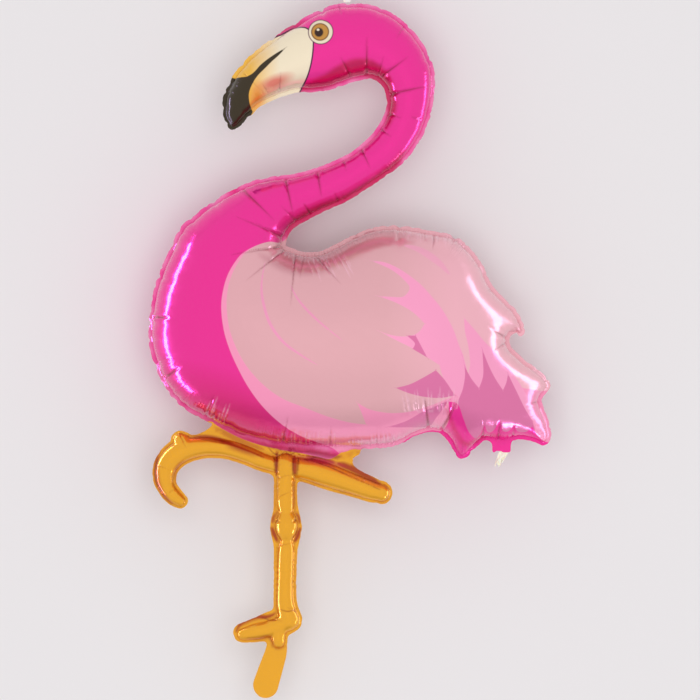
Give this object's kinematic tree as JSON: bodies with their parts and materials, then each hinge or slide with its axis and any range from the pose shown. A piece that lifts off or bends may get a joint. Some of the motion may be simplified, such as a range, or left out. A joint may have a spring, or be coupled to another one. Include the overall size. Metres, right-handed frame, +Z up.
{
  "type": "flamingo-shaped foil balloon",
  "caption": "Inflated foil balloon cut to the outline of a wading bird, with a curled neck, hooked beak, welded flat edge, slim legs and a filling valve stub under the tail.",
  "frame": {"origin": "on the floor, under the middle of the box round the whole balloon, which lies on its side", "axes": "+Y from the legs towards the crown of the head, -X towards the beak, +Z up out of the side that faces the viewer"},
  "size_m": [0.696, 1.224, 0.2572],
  "materials": {
    "printed_foil": "glossy printed metallised film, magenta with a pale pink wing, gold legs and a cream and black beak",
    "ivory_film": "thin satin polyethylene film",
    "white_film": "thin satin white film"
  },
  "bodies": {
    "root": {"foil_balloon": "printed_foil", "valve_tail": "ivory_film", "hanging_tab": "white_film"}
  },
  "joints": []
}
